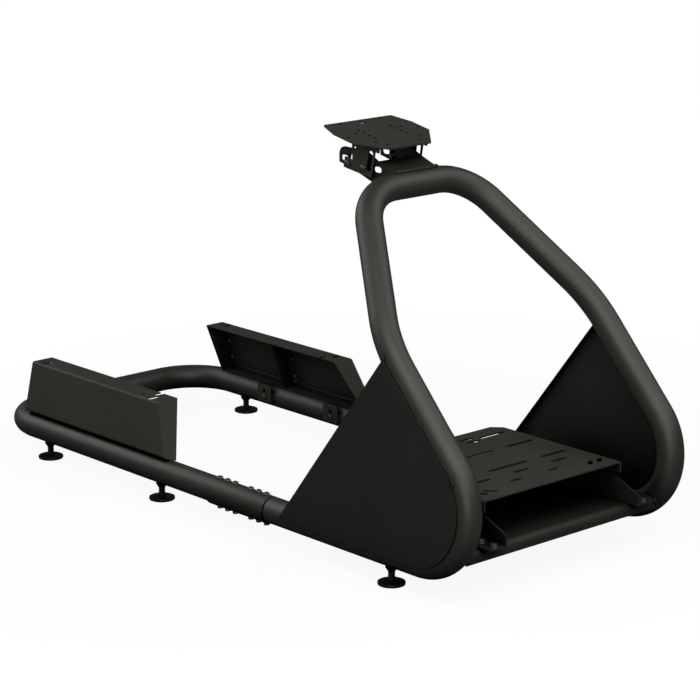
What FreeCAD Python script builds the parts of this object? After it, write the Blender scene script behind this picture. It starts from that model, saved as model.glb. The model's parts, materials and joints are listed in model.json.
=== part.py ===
"""Sim racing cockpit: a bent tube hoop with side panels, pedal deck and tilting wheel deck,
and a U-shaped seat frame that telescopes into it.

Millimetres. X is the driver's right, Y points the way the driver faces, Z is up.
The origin is on the floor, under the middle of the cockpit.
"""
import FreeCAD
import Part
import Sketcher
import math
import os
import re

SIZES = {
    # whole cockpit and its round tube
    "overall_length": 1408,
    "tube_dia": 50,
    "tube_wall": 2,
    "rail_gauge": 516,
    "rail_height": 58,
    # front hoop
    "hoop_lean": 47,
    "hoop_rise": 590,
    "shoulder_rise": 372,
    "top_span": 248,
    "foot_bend": 112,
    "shoulder_bend": 254,
    "corner_bend": 110,
    "front_length": 530,
    # seat frame and its telescopic joint
    "rear_bend": 109,
    "seam_gap": 4,
    "sleeve_wall": 3,
    "slide_fit": 0.3,
    "sleeve_grip": 100,
    "sleeve_reach": 230,
    "saddle_length": 162,
    "saddle_sheet": 3,
    "saddle_wrap": 65,
    "saddle_setback": 4,
    # levelling feet
    "pad_dia": 50,
    "pad_height": 8,
    "pad_chamfer": 1.5,
    "pad_rim": 0.7,
    "pad_neck_dia": 19,
    "stem_dia": 10,
    "collar_dia": 24,
    "collar_height": 8,
    "collar_taper": 5,
    "front_foot_setback": 211,
    "middle_foot_setback": 548,
    "rear_foot_setback": 183,
    # seats of pieces that lie against a tube
    "seat_fit": 0.6,
    # side panels
    "panel_sheet": 2,
    "panel_rail_length": 606,
    "panel_leg_length": 483,
    "panel_flange": 13,
    "panel_fold_gap": 2,
    # seat brackets
    "seat_gauge": 405,
    "seat_height": 188,
    "seat_sheet": 2,
    "seat_top_width": 48,
    "seat_length": 412,
    "seat_setback": 118,
    "seat_web_height": 98.5,
    "seat_web_lean": 21.5,
    "seat_front_rake": 44,
    "seat_foot_width": 28,
    "seat_slot_spacing": 348,
    "seat_fold": 5,
    "seat_slot_width": 10,
    "seat_slot_length": 25,
    "seat_slot_inset": 14.5,
    "second_slot_back": 14,
    "second_slot_inset": 40.5,
    "seat_hole_dia": 9,
    "front_hole_back": 33,
    "rear_hole_back": 17,
    "lug_width": 44,
    "lug_spacing": 210,
    "lug_setback": 384,
    "lug_low": 47,
    "lug_thickness": 4,
    "lug_drop": 38,
    "lug_hole_dia": 8,
    "lug_hole_down": 15,
    # pedal base, gussets and deck
    "base_height": 96,
    "base_sheet": 3,
    "base_setback": 39,
    "base_length": 342,
    "base_fold": 14,
    "base_lip": 22,
    "base_skirt": 40,
    "gusset_sheet": 3,
    "gusset_setback": 20,
    "gusset_length": 353,
    "gusset_foot": 38,
    "gusset_nose": 22,
    "gusset_slope": 22.5,
    "deck_height": 169,
    "deck_sheet": 3,
    "deck_fold": 5,
    "deck_width": 350,
    "deck_length": 312,
    "deck_setback": 69,
    "deck_flange": 21,
    "deck_clip": 22,
    "deck_slot_width": 9,
    "deck_slot_length": 68,
    "deck_slot_spread": 238,
    "deck_slot_pitch": 86,
    "deck_centre_slot": 98,
    "deck_short_slot": 38,
    "deck_short_spread": 196,
    "deck_stub_slot": 26,
    "deck_stub_spread": 94,
    "deck_row_pitch": 33,
    "deck_first_row": 49,
    "deck_rear_row": 39,
    "deck_tail_slot": 34,
    "deck_tail_spread": 120,
    "deck_tail_step": 9,
    "deck_slant": 40,
    "deck_slant_slot": 27,
    "deck_slant_spread": 280,
    "deck_slant_step": 12,
    "deck_slant_row": 33,
    # wheel fork on the top bar
    "fork_width": 106,
    "fork_sheet": 3,
    "fork_web_length": 46,
    "fork_web_slope": 20,
    "fork_reach": 148,
    "fork_top": 56,
    "fork_round": 15,
    "fork_tail": 30,
    "fork_chin": 32,
    "fork_chin_drop": 37,
    "fork_throat": 58,
    "fork_bite": 4,
    "fork_slot_length": 20,
    "fork_slot_width": 11,
    "fork_slot_back": 44,
    "window_length": 19,
    "window_width": 11,
    "window_back": 15,
    "window_down": 21,
    # tilting wheel bracket
    "pivot_back": 74,
    "pivot_up": 25,
    "bolt_dia": 8,
    "bolt_fit": 0.3,
    "bolt_head_dia": 13,
    "bolt_head_height": 5,
    "lock_radius": 42,
    "lock_angle": 175.5,
    "tilt_rest": 11,
    "tilt_travel": 18,
    "ear_gap": 5,
    "ear_sheet": 3,
    "ear_fold": 5,
    "ear_front": 24,
    "ear_top_rear": 41,
    "ear_low_rear": 31,
    "ear_drop": 11,
    "lobe_r": 10,
    "nose_length": 34,
    "nose_depth": 11.5,
    "ear_slot_length": 39,
    "ear_slot_width": 12,
    "ear_slot_ahead": 14,
    "ear_slot_down": 32.5,
    "ear_hole_dia": 7,
    "ear_hole_back": 29,
    "ear_hole_down": 22,
    # wheel plate
    "plate_rise": 54.5,
    "plate_thickness": 4,
    "plate_rear": 94,
    "plate_rear_width": 166,
    "plate_shoulder": 51,
    "plate_width": 194,
    "plate_waist": 3,
    "plate_front": 51,
    "plate_front_width": 103,
    "wheel_hole_dia": 6.6,
    "wheel_hole_spread": 80,
    "wheel_hole_pitch": 14.6,
    "wheel_last_hole": 47,
    "outer_hole_spread": 112,
    "outer_hole_rear": 36,
    "outer_hole_front": 19,
    "side_hole_spread": 176,
    "side_hole_rear": 56,
    "side_hole_front": 22,
    "tail_hole_spread": 98,
    "tail_hole_rear": 86,
    "cable_hole_dia": 14,
    "cable_hole_rear": 81,
    # room left by a cut that runs past the sheet it goes through
    "overcut": 1,
}

# Places that follow from the sizes.
WORKED = {
    "tube_r": "tube_dia / 2",
    "bore_r": "tube_r - tube_wall",
    "rail_x": "rail_gauge / 2",
    "front_y": "overall_length / 2",
    "rear_y": "-overall_length / 2",
    "bend_y": "front_y - tube_r - foot_bend",
    "corner_y": "bend_y + foot_bend / tan(hoop_lean / 2)",
    "seam_y": "front_y - front_length",
    "bar_y": "corner_y - hoop_rise / tan(hoop_lean)",
    "bar_z": "rail_height + hoop_rise",
    "seat_inner_x": "seat_gauge / 2",
    "seat_outer_x": "seat_inner_x + seat_top_width",
    "web_foot_x": "seat_outer_x + seat_web_lean",
    "web_foot_z": "seat_height - seat_web_height",
    "seat_rear_y": "rear_y + seat_setback",
    "seat_front_y": "seat_rear_y + seat_length",
    "deck_front_y": "front_y - deck_setback",
    "deck_rear_y": "deck_front_y - deck_length",
    "deck_inner_x": "deck_width / 2 - deck_sheet",
    "base_front_y": "front_y - base_setback",
    "base_x": "rail_x - tube_r - seat_fit",
    "gusset_front_y": "front_y - gusset_setback",
    "gusset_x": "deck_inner_x - (deck_fold - deck_sheet)",
    "gusset_rear_y": "gusset_front_y - gusset_length",
    "deck_under_z": "deck_height - deck_sheet",
    "seat_middle_y": "seat_rear_y + seat_length / 2",
    "lug_middle_y": "rear_y + lug_setback",
    "fork_x": "fork_width / 2",
    "pivot_y": "bar_y - pivot_back",
    "pivot_z": "bar_z + pivot_up",
    "ear_inner_x": "fork_x + ear_gap",
    "ear_x": "ear_inner_x + ear_sheet",
    "flange_top": "plate_rise - plate_thickness",
    "bolt_r": "bolt_dia / 2",
    "bolt_hole_r": "bolt_r + bolt_fit",
}

doc = FreeCAD.newDocument("cockpit")
sheet = doc.addObject("Spreadsheet::Sheet", "Sizes")
for row, (alias, size) in enumerate(SIZES.items(), start=1):
    sheet.set(f"A{row}", alias)
    sheet.set(f"B{row}", str(size))
    sheet.setAlias(f"B{row}", alias)
doc.recompute()

nodes = []


def spelled(text):
    """An expression in sheet cells, with every worked-out place written in full."""
    def swap(match):
        word = match[0]
        if word in WORKED:
            return "(" + spelled(WORKED[word]) + ")"
        return "Sizes." + word if word in SIZES else word
    return re.sub(r"[a-z][a-z_]*", swap, text)


def value(text):
    result = sheet.evalExpression(spelled(text))
    return float(getattr(result, "Value", result))


def bind(thing, prop, text):
    thing.setExpression(prop, spelled(text))


def keep(thing, label):
    """Names a finished piece, which becomes one node."""
    thing.Label = label
    nodes.append(thing)
    return thing


def new_body(label):
    return keep(doc.addObject("PartDesign::Body", label), label)


def place(thing, x="0", y="0", z="0", turn="0"):
    """Binds where a piece sits, and how far it is turned about X."""
    for axis, text in zip("xyz", (x, y, z)):
        bind(thing, f"Placement.Base.{axis}", text)
    thing.Placement.Rotation = FreeCAD.Rotation(FreeCAD.Vector(1, 0, 0), 0)
    bind(thing, "Placement.Rotation.Angle", turn)


def mirrored(source, label):
    """The left-hand twin of a right-hand piece."""
    twin = doc.addObject("Part::Mirroring", label)
    twin.Source = source
    twin.Normal = FreeCAD.Vector(1, 0, 0)
    twin.Base = FreeCAD.Vector(0, 0, 0)
    return keep(twin, label)


# Sketches

def sketch_on(body, role, offset="0"):
    sketch = body.newObject("Sketcher::SketchObject", body.Name + "_sketch")
    plane = next(part for part in body.Origin.OriginFeatures if part.Role == role)
    sketch.AttachmentSupport = [(plane, "")]
    sketch.MapMode = "FlatFace"
    bind(sketch, "AttachmentOffset.Base.z", offset)
    return sketch


def dimension(sketch, kind, places, text):
    index = sketch.addConstraint(Sketcher.Constraint(kind, *places, value(text)))
    sketch.setExpression(f"Constraints[{index}]", spelled(text))


def pin_point(sketch, geometry, end, x, y):
    """Ties a point of the sketch to its two distances from the origin."""
    dimension(sketch, "DistanceX", (-1, 1, geometry, end), x)
    dimension(sketch, "DistanceY", (-1, 1, geometry, end), y)


def outline(sketch, corners, arcs=None, inward=()):
    """A closed outline, listed counter-clockwise; arcs gives a side's radius and centre.

    A side in inward curves the other way, into the outline.
    """
    arcs = arcs or {}
    first = sketch.GeometryCount
    points = [FreeCAD.Vector(value(x), value(y), 0) for x, y in corners]
    ends = points[1:] + points[:1]
    for side, (start, end) in enumerate(zip(points, ends)):
        if side in arcs:
            radius, centre_x, centre_y = (value(text) for text in arcs[side])
            centre = FreeCAD.Vector(centre_x, centre_y, 0)
            circle = Part.Circle(centre, FreeCAD.Vector(0, 0, 1), radius)
            angles = [math.atan2(point.y - centre_y, point.x - centre_x) for point in (start, end)]
            sketch.addGeometry(Part.ArcOfCircle(circle, *(angles[::-1] if side in inward else angles)))
        else:
            sketch.addGeometry(Part.LineSegment(start, end))
    count = len(points)
    starts = [2 if side in inward else 1 for side in range(count)]
    for side in range(count):
        following = (side + 1) % count
        joint = (first + side, 3 - starts[side], first + following, starts[following])
        sketch.addConstraint(Sketcher.Constraint("Coincident", *joint))
    for side, (x, y) in enumerate(corners):
        pin_point(sketch, first + side, starts[side], x, y)
        if side in arcs:
            dimension(sketch, "Radius", (first + side,), arcs[side][0])
    return sketch


def holes(sketch, radius, spots):
    for x, y in spots:
        centre = FreeCAD.Vector(value(x), value(y), 0)
        circle = sketch.addGeometry(Part.Circle(centre, FreeCAD.Vector(0, 0, 1), value(radius)))
        pin_point(sketch, circle, 3, x, y)
        dimension(sketch, "Radius", (circle,), radius)
    return sketch


def slots(sketch, length, width, spots, slant="0"):
    """Round-ended slots along the sketch's own X, or slanted from it."""
    half = f"({length} - {width}) / 2"
    radius = f"{width} / 2"
    reach_x, reach_y = (f"{half} * {turn}({slant})" for turn in ("cos", "sin"))
    lean = math.radians(value(slant))
    for x, y in spots:
        tips = [(f"{x} + {reach_x}", f"{y} + {reach_y}"), (f"{x} - {reach_x}", f"{y} - {reach_y}")]
        first = sketch.GeometryCount
        for (tip_x, tip_y), start in zip(tips, (lean - math.pi / 2, lean + math.pi / 2)):
            centre = FreeCAD.Vector(value(tip_x), value(tip_y), 0)
            circle = Part.Circle(centre, FreeCAD.Vector(0, 0, 1), value(radius))
            sketch.addGeometry(Part.ArcOfCircle(circle, start, start + math.pi))
        right, left = (sketch.Geometry[first + index] for index in (0, 1))
        sketch.addGeometry(Part.LineSegment(right.EndPoint, left.StartPoint))
        sketch.addGeometry(Part.LineSegment(left.EndPoint, right.StartPoint))
        for start, end in ((0, 2), (2, 1), (1, 3), (3, 0)):
            joint = (first + start, 2, first + end, 1)
            sketch.addConstraint(Sketcher.Constraint("Tangent", *joint))
        for tip, (tip_x, tip_y) in enumerate(tips):
            pin_point(sketch, first + tip, 3, tip_x, tip_y)
        dimension(sketch, "Radius", (first,), radius)
    return sketch


def folded_channel(sketch, low, high, top, depth, sheet_name, fold):
    """An upside-down U of bent sheet: flat top, rounded folds, and two lips of the given depth."""
    inside = f"({fold} - {sheet_name})"
    round_low, round_high = f"{low} + {fold}", f"{high} - {fold}"
    under, lip_end = f"{top} - {sheet_name}", f"{top} - {depth}"
    centre_z = f"{top} - {fold}"
    corners = [
        (high, lip_end), (high, centre_z), (round_high, top),
        (round_low, top), (low, centre_z), (low, lip_end),
        (f"{low} + {sheet_name}", lip_end), (f"{low} + {sheet_name}", centre_z), (round_low, under),
        (round_high, under), (f"{high} - {sheet_name}", centre_z), (f"{high} - {sheet_name}", lip_end),
    ]
    arcs = {
        1: (fold, round_high, centre_z), 3: (fold, round_low, centre_z),
        7: (inside, round_low, centre_z), 9: (inside, round_high, centre_z),
    }
    return outline(sketch, corners, arcs, inward=(7, 9))


# Features

def pad(body, sketch, length, both_ways=False):
    feature = body.newObject("PartDesign::Pad", body.Name + "_pad")
    feature.Profile = sketch
    feature.SideType = "Symmetric" if both_ways else "One side"
    bind(feature, "Length", length)
    doc.recompute()
    return feature


def pocket(body, sketch, length, both_ways=False, reverse=False):
    before = body.Shape.Volume
    feature = body.newObject("PartDesign::Pocket", body.Name + "_pocket")
    feature.Profile = sketch
    feature.SideType = "Symmetric" if both_ways else "One side"
    feature.Reversed = reverse
    bind(feature, "Length", length)
    doc.recompute()
    if body.Shape.Volume >= before:
        raise RuntimeError(f"a pocket of {body.Label} cuts nothing")
    return feature


def cope(body, x):
    """Cuts a body to lie round the hoop's foot bend on one side."""
    before = body.Shape.Volume
    feature = body.newObject("PartDesign::SubtractiveTorus", body.Name + "_cope")
    bind(feature, "Radius1", "foot_bend")
    bind(feature, "Radius2", "tube_r + seat_fit / 2")
    feature.Placement.Rotation = FreeCAD.Rotation(FreeCAD.Vector(0, 1, 0), 90)
    for axis, text in zip("xyz", (x, "bend_y", "rail_height + foot_bend")):
        bind(feature, f"Placement.Base.{axis}", text)
    doc.recompute()
    if body.Shape.Volume >= before:
        raise RuntimeError(f"a cope of {body.Label} cuts nothing")
    return feature


def revolved(body, sketch):
    feature = body.newObject("PartDesign::Revolution", body.Name + "_revolution")
    feature.Profile = sketch
    feature.ReferenceAxis = (sketch, ["V_Axis"])
    feature.Angle = 360
    doc.recompute()
    return feature


# Bent tubes

def bent_path(points, bends):
    """Straight runs joined by tangent arcs, one bend radius for each inner point."""
    edges = []
    start = points[0]
    for before, corner, after, bend in zip(points, points[1:], points[2:], bends):
        back = (before - corner).normalize()
        ahead = (after - corner).normalize()
        half = back.getAngle(ahead) / 2
        inward = (back + ahead).normalize()
        reach = bend / math.tan(half)
        middle = corner + inward * (bend / math.sin(half) - bend)
        edges.append(Part.LineSegment(start, corner + back * reach).toShape())
        edges.append(Part.Arc(corner + back * reach, middle, corner + ahead * reach).toShape())
        start = corner + ahead * reach
    edges.append(Part.LineSegment(start, points[-1]).toShape())
    return Part.Wire(edges)


def swept(path, radius):
    start = path.Edges[0]
    at, ahead = start.valueAt(start.FirstParameter), start.tangentAt(start.FirstParameter)
    circle = Part.makeCircle(radius, at, ahead)
    return path.makePipeShell([Part.Wire([circle])], True, False)


def tube(label, points, bends):
    path = bent_path(points, bends)
    piece = doc.addObject("Part::Feature", label)
    piece.Shape = swept(path, value("tube_r")).cut(swept(path, value("bore_r")))
    return keep(piece, label)


def both_sides(half):
    """A path point list for the whole frame, from the right-hand half of it."""
    return half + [FreeCAD.Vector(-point.x, point.y, point.z) for point in reversed(half)]


def spot(x, y, z):
    return FreeCAD.Vector(value(x), value(y), value(z))


def make_front_hoop():
    half = [
        spot("rail_x", "seam_y", "rail_height"),
        spot("rail_x", "corner_y", "rail_height"),
        spot("rail_x", "corner_y - shoulder_rise / tan(hoop_lean)", "rail_height + shoulder_rise"),
        spot("top_span / 2", "bar_y", "bar_z"),
    ]
    bends = [value(name) for name in ("foot_bend", "shoulder_bend", "corner_bend")]
    tube("front_hoop", both_sides(half), bends + bends[::-1])


def make_seat_frame():
    half = [
        spot("rail_x", "seam_y - seam_gap", "rail_height"),
        spot("rail_x", "rear_y + tube_r", "rail_height"),
    ]
    tube("seat_frame_tube", both_sides(half), [value("rear_bend")] * 2)


def make_sleeves():
    """Inner tubes fixed in the hoop's rails, on which the seat frame slides."""
    body = new_body("sleeve_right")
    ring = sketch_on(body, "XZ_Plane")
    holes(ring, "bore_r - slide_fit", [("0", "0")])
    holes(ring, "bore_r - slide_fit - sleeve_wall", [("0", "0")])
    pad(body, ring, "sleeve_grip + sleeve_reach")
    place(body, "rail_x", "seam_y + sleeve_grip", "rail_height")
    mirrored(body, "sleeve_left")


def make_clamp_saddles():
    """Sheet saddle under each telescopic joint, bent round the tube, that its screws pull up."""
    body = new_body("clamp_saddle_right")
    inner, outer = "(tube_r + seat_fit)", "(tube_r + seat_fit + saddle_sheet)"

    def round_tube(radius, sign):
        return f"{sign}{radius} * sin(saddle_wrap)", f"-{radius} * cos(saddle_wrap)"

    section = sketch_on(body, "XZ_Plane")
    outline(
        section,
        [round_tube(outer, "-"), round_tube(outer, ""), round_tube(inner, ""), round_tube(inner, "-")],
        {0: (outer, "0", "0"), 2: (inner, "0", "0")}, inward=(2,),
    )
    pad(body, section, "saddle_length")
    place(body, "rail_x", "seam_y - saddle_setback", "rail_height")
    mirrored(body, "clamp_saddle_left")


def make_foot(name, side, along):
    """A levelling foot: moulded pad on a threaded stem that screws into a collar under the rail."""
    stem_r = "stem_dia / 2"
    pad_body = new_body(f"foot_pad_{name}")
    outline(sketch_on(pad_body, "XZ_Plane"), [
        ("0", "0"), ("pad_dia / 2 - pad_chamfer", "0"), ("pad_dia / 2", "pad_chamfer"),
        ("pad_dia / 2", "pad_height * pad_rim"),
        ("pad_neck_dia / 2", "pad_height"), ("0", "pad_height"),
    ])
    revolved(pad_body, pad_body.Group[-1])
    place(pad_body, side, along)
    stem = new_body(f"foot_stem_{name}")
    under = "rail_height - tube_r - seat_fit"
    outline(sketch_on(stem, "XZ_Plane"), [
        ("0", "pad_height"), (stem_r, "pad_height"), (stem_r, f"{under} - collar_height"),
        ("collar_dia / 2 - collar_taper", f"{under} - collar_height"), ("collar_dia / 2", under),
        ("0", under),
    ])
    revolved(stem, stem.Group[-1])
    place(stem, side, along)


def make_feet():
    rows = {
        "front": "front_y - front_foot_setback",
        "middle": "rear_y + middle_foot_setback",
        "rear": "rear_y + rear_foot_setback",
    }
    for row, along in rows.items():
        for side, x in (("right", "rail_x"), ("left", "-rail_x")):
            make_foot(f"{row}_{side}", x, along)


def make_side_panels():
    """Flat sheet outside the hoop, edged along the tube's outermost line, with a folded rear edge."""
    inner = "rail_x + tube_r + seat_fit"
    body = new_body("side_panel_right")
    rear_low = ("corner_y - panel_rail_length", "rail_height")
    leg_top = (
        "corner_y - panel_leg_length * cos(hoop_lean)", "rail_height + panel_leg_length * sin(hoop_lean)",
    )
    bend_end = (
        "bend_y + foot_bend * sin(hoop_lean)", "rail_height + foot_bend + foot_bend * cos(hoop_lean)",
    )
    bend_arc = ("foot_bend", "bend_y", "rail_height + foot_bend")
    face = sketch_on(body, "YZ_Plane", inner)
    outline(face, [rear_low, ("bend_y", "rail_height"), bend_end, leg_top], {1: bend_arc})
    pad(body, face, "panel_sheet")
    slope = "((panel_rail_length - panel_leg_length * cos(hoop_lean)) / (panel_leg_length * sin(hoop_lean)))"
    low = "(tube_r + panel_fold_gap)"
    high = f"(panel_leg_length * sin(hoop_lean) - {low} / ({slope} * sin(hoop_lean) + cos(hoop_lean)))"
    thick = f"panel_sheet * sqrt(1 + {slope} ^ 2)"
    edge = [(f"{rear_low[0]} + {slope} * {up}", f"rail_height + {up}") for up in (low, high)]
    fold = sketch_on(body, "YZ_Plane", inner)
    inside = [(f"{y} + {thick}", z) for y, z in edge]
    outline(fold, [edge[0], inside[0], inside[1], edge[1]])
    flange = pad(body, fold, "panel_flange - panel_sheet")
    flange.Reversed = True
    mirrored(body, "side_panel_left")


def make_seat_brackets():
    """Folded box open towards the seat: top flange, leaning web, foot resting on the tube, two ends."""
    body = new_body("seat_bracket_right")
    reach_x = "web_foot_x - rail_x"
    reach_z = "(web_foot_z - rail_height)"
    reach = f"sqrt(({reach_x}) ^ 2 + {reach_z} ^ 2)"
    foot_angle = f"acos((tube_r + seat_fit) / {reach}) - atan(({reach_x}) / {reach_z})"
    foot_tip = (
        f"(web_foot_x - seat_foot_width * cos({foot_angle}))",
        f"(web_foot_z - seat_foot_width * sin({foot_angle}))",
    )
    section = sketch_on(body, "XZ_Plane", "-seat_rear_y")
    outline(section, [
        foot_tip, ("web_foot_x", "web_foot_z"),
        ("seat_outer_x", "seat_height"), ("seat_inner_x", "seat_height"),
    ])
    rake_reach = f"seat_front_rake * (seat_height - {foot_tip[1]}) / seat_web_height"
    feature = pad(body, section, f"seat_length + {rake_reach}")
    feature.Reversed = True
    doc.recompute()
    rake = sketch_on(body, "YZ_Plane")
    outline(rake, [
        (f"seat_front_y + {rake_reach}", foot_tip[1]), (f"seat_front_y + {rake_reach}", "seat_height"),
        ("seat_front_y", "seat_height"),
    ])
    pocket(body, rake, "rail_gauge + seat_gauge", both_ways=True)
    doc.recompute()
    folds = body.newObject("PartDesign::Fillet", "seat_bracket_folds")
    outer_x = value("seat_outer_x - overcut")
    folds.Base = (body.Group[-2], [
        f"Edge{index}" for index, edge in enumerate(body.Shape.Edges, start=1)
        if edge.BoundBox.YLength > value("seat_length / 2") and edge.CenterOfMass.x > outer_x
    ])
    bind(folds, "Radius", "seat_fold")
    doc.recompute()
    shell = body.newObject("PartDesign::Thickness", "seat_bracket_shell")
    faces = body.Shape.Faces
    open_side = min(range(len(faces)), key=lambda index: faces[index].normalAt(0, 0).x)
    shell.Base = (folds, [f"Face{open_side + 1}"])
    shell.Reversed = True
    shell.Join = "Intersection"
    bind(shell, "Value", "seat_sheet")
    doc.recompute()
    rib = sketch_on(body, "XZ_Plane", "-seat_middle_y")
    outline(rib, [
        (f"{foot_tip[0]} + seat_sheet", f"{foot_tip[1]} + seat_sheet"),
        ("web_foot_x - seat_fold", "web_foot_z + seat_sheet"),
        ("seat_outer_x - seat_fold / 2", "seat_height - seat_fold"),
        ("seat_outer_x - seat_fold", "seat_height - seat_sheet / 2"),
        ("seat_inner_x + seat_sheet", "seat_height - seat_sheet / 2"),
    ])
    pad(body, rib, "seat_sheet", both_ways=True)
    slot_x = "(seat_outer_x - seat_slot_inset)"
    front_y, rear_y = (f"(seat_middle_y {sign} seat_slot_spacing / 2)" for sign in "+-")
    cut = sketch_on(body, "XY_Plane", "seat_height")
    slots(cut, "seat_slot_length", "seat_slot_width", [
        (slot_x, front_y), (slot_x, rear_y),
        ("seat_outer_x - second_slot_inset", f"{front_y} - second_slot_back"),
    ])
    holes(cut, "seat_hole_dia / 2", [
        (slot_x, f"{front_y} - front_hole_back"), (slot_x, f"{rear_y} - rear_hole_back"),
    ])
    pocket(body, cut, "seat_sheet")
    mirrored(body, "seat_bracket_left")


def make_seat_lugs():
    """Drilled tabs on the inner side of the tube, which each bracket's foot is bolted to."""
    body = new_body("seat_lugs_right")
    for sign in "-+":
        tab = sketch_on(body, "YZ_Plane", "rail_x - tube_r - seat_fit - lug_thickness")
        top = "lug_low + lug_drop"
        middle = f"lug_middle_y {sign} lug_spacing / 2"
        rear, front = f"{middle} - lug_width / 2", f"{middle} + lug_width / 2"
        outline(tab, [(rear, "lug_low"), (front, "lug_low"), (front, top), (rear, top)])
        holes(tab, "lug_hole_dia / 2", [(middle, f"{top} - lug_hole_down")])
        pad(body, tab, "lug_thickness")
    mirrored(body, "seat_lugs_left")


def make_pedal_base():
    """Folded tray between the rails: rounded lips, side skirts, and front lip ends coped to the bends."""
    body = new_body("pedal_base")
    section = sketch_on(body, "YZ_Plane")
    rear = "base_front_y - base_length"
    folded_channel(section, rear, "base_front_y", "base_height", "base_lip", "base_sheet", "base_fold")
    pad(body, section, "2 * base_x", both_ways=True)
    lip_end = sketch_on(body, "YZ_Plane")
    low, round_z = "base_height - base_lip", "base_height - base_fold"
    outline(lip_end, [
        ("base_front_y - base_sheet", low), ("base_front_y", low), ("base_front_y", round_z),
        ("base_front_y - base_sheet", round_z),
    ])
    pad(body, lip_end, "2 * rail_x - tube_r", both_ways=True)
    for sign in ("", "-"):
        cope(body, f"{sign}rail_x")
    skirt_low = "base_height - base_skirt"
    for x in ("-base_x", "base_x - base_sheet"):
        skirt = sketch_on(body, "YZ_Plane", x)
        outline(skirt, [
            (f"{rear} + base_fold", skirt_low), ("bend_y + foot_bend / 2", skirt_low),
            ("base_front_y - base_fold", low), ("base_front_y - base_fold", "base_height"),
            (f"{rear} + base_fold", "base_height"),
        ])
        pad(body, skirt, "base_sheet")


def make_gussets():
    """Upright side plates with outward feet that carry the pedal deck on the base."""
    body = new_body("pedal_gusset_right")
    outer = "gusset_x"
    inner = "gusset_x - gusset_sheet"
    section = sketch_on(body, "XZ_Plane", "-gusset_rear_y")
    outline(section, [
        (inner, "base_height"), (f"{outer} + gusset_foot", "base_height"),
        (f"{outer} + gusset_foot", "base_height + gusset_sheet"), (outer, "base_height + gusset_sheet"),
        (outer, "deck_under_z"), (inner, "deck_under_z"),
    ])
    feature = pad(body, section, "gusset_length")
    feature.Reversed = True
    doc.recompute()
    nose = sketch_on(body, "YZ_Plane", "gusset_x - gusset_sheet - overcut")
    rise = "(deck_under_z - base_height - gusset_nose)"
    outline(nose, [
        ("gusset_front_y", "base_height + gusset_nose"),
        ("gusset_front_y + overcut", "base_height + gusset_nose"),
        ("gusset_front_y + overcut", "deck_under_z + overcut"),
        (f"gusset_front_y - {rise} / tan(gusset_slope)", "deck_under_z + overcut"),
        (f"gusset_front_y - {rise} / tan(gusset_slope)", "deck_under_z"),
    ])
    pocket(body, nose, "gusset_sheet + 2 * overcut", reverse=True)
    mirrored(body, "pedal_gusset_left")


def make_pedal_deck():
    """Slotted plate with turned-down sides and clipped rear corners."""
    body = new_body("pedal_deck")
    half = "deck_width / 2"
    section = sketch_on(body, "XZ_Plane", "-deck_rear_y")
    folded_channel(section, f"-{half}", half, "deck_height", "deck_flange", "deck_sheet", "deck_fold")
    feature = pad(body, section, "deck_length")
    feature.Reversed = True
    doc.recompute()
    for sign in ("", "-"):
        clip = sketch_on(body, "XY_Plane", "deck_height")
        corners = [
            (f"{sign}({half} - deck_clip)", "deck_rear_y"),
            (f"{sign}({half} + overcut)", "deck_rear_y - overcut"),
            (f"{sign}({half})", "deck_rear_y + deck_clip"),
        ]
        outline(clip, corners if sign == "" else corners[::-1])
        pocket(body, clip, "deck_flange")
    rows = {
        "mount": "deck_front_y - deck_first_row - 2 * deck_row_pitch",
        "short": "deck_front_y - deck_first_row - deck_row_pitch",
        "stub": "deck_front_y - deck_first_row",
        "rear": "deck_rear_y + deck_rear_row",
    }
    cut = sketch_on(body, "XY_Plane", "deck_height")
    mount_rows = [rows["mount"], rows["mount"] + " - deck_slot_pitch"]
    slots(cut, "deck_slot_length", "deck_slot_width", [
        (f"{sign}deck_slot_spread / 2", row) for row in mount_rows + [rows["rear"]] for sign in ("", "-")
    ])
    slots(cut, "deck_centre_slot", "deck_slot_width", [("0", row) for row in mount_rows])
    slots(cut, "deck_short_slot", "deck_slot_width", [
        (x, rows["short"]) for x in ("0", "deck_short_spread / 2", "-deck_short_spread / 2")
    ])
    slots(cut, "deck_stub_slot", "deck_slot_width", [
        (f"{sign}deck_stub_spread / 2", rows["stub"]) for sign in ("", "-")
    ])
    slots(cut, "deck_tail_slot", "deck_slot_width", [
        (f"{sign}deck_tail_spread / 2", f"{rows['rear']} {step} deck_tail_step")
        for sign in ("", "-") for step in "+-"
    ])
    for sign, slant in (("", "-deck_slant"), ("-", "deck_slant")):
        slots(cut, "deck_slant_slot", "deck_slot_width", [
            (f"{sign}(deck_slant_spread / 2 {step} deck_slant_step)", "deck_front_y - deck_slant_row")
            for step in "+-"
        ], slant)
    pocket(body, cut, "deck_sheet")


def arc_slot(body, depth):
    """Cuts the slots that the lock bolts travel in, round the pivot, through both cheeks."""
    low, high = "(lock_angle - tilt_travel)", "lock_angle"
    inner, outer = "(lock_radius - bolt_hole_r)", "(lock_radius + bolt_hole_r)"

    def round_pivot(radius, angle):
        return f"{radius} * cos({angle}) - pivot_back", f"{radius} * sin({angle}) + pivot_up"

    corners = [
        round_pivot(outer, low), round_pivot(outer, high), round_pivot(inner, high), round_pivot(inner, low),
    ]
    arcs = {side: (radius, "-pivot_back", "pivot_up") for side, radius in ((0, outer), (2, inner))}
    pocket(body, outline(sketch_on(body, "YZ_Plane"), corners, arcs, inward=(2,)), depth, both_ways=True)
    ends = [round_pivot("lock_radius", angle) for angle in (low, high)]
    pocket(body, holes(sketch_on(body, "YZ_Plane"), "bolt_hole_r", ends), depth, both_ways=True)


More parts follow.
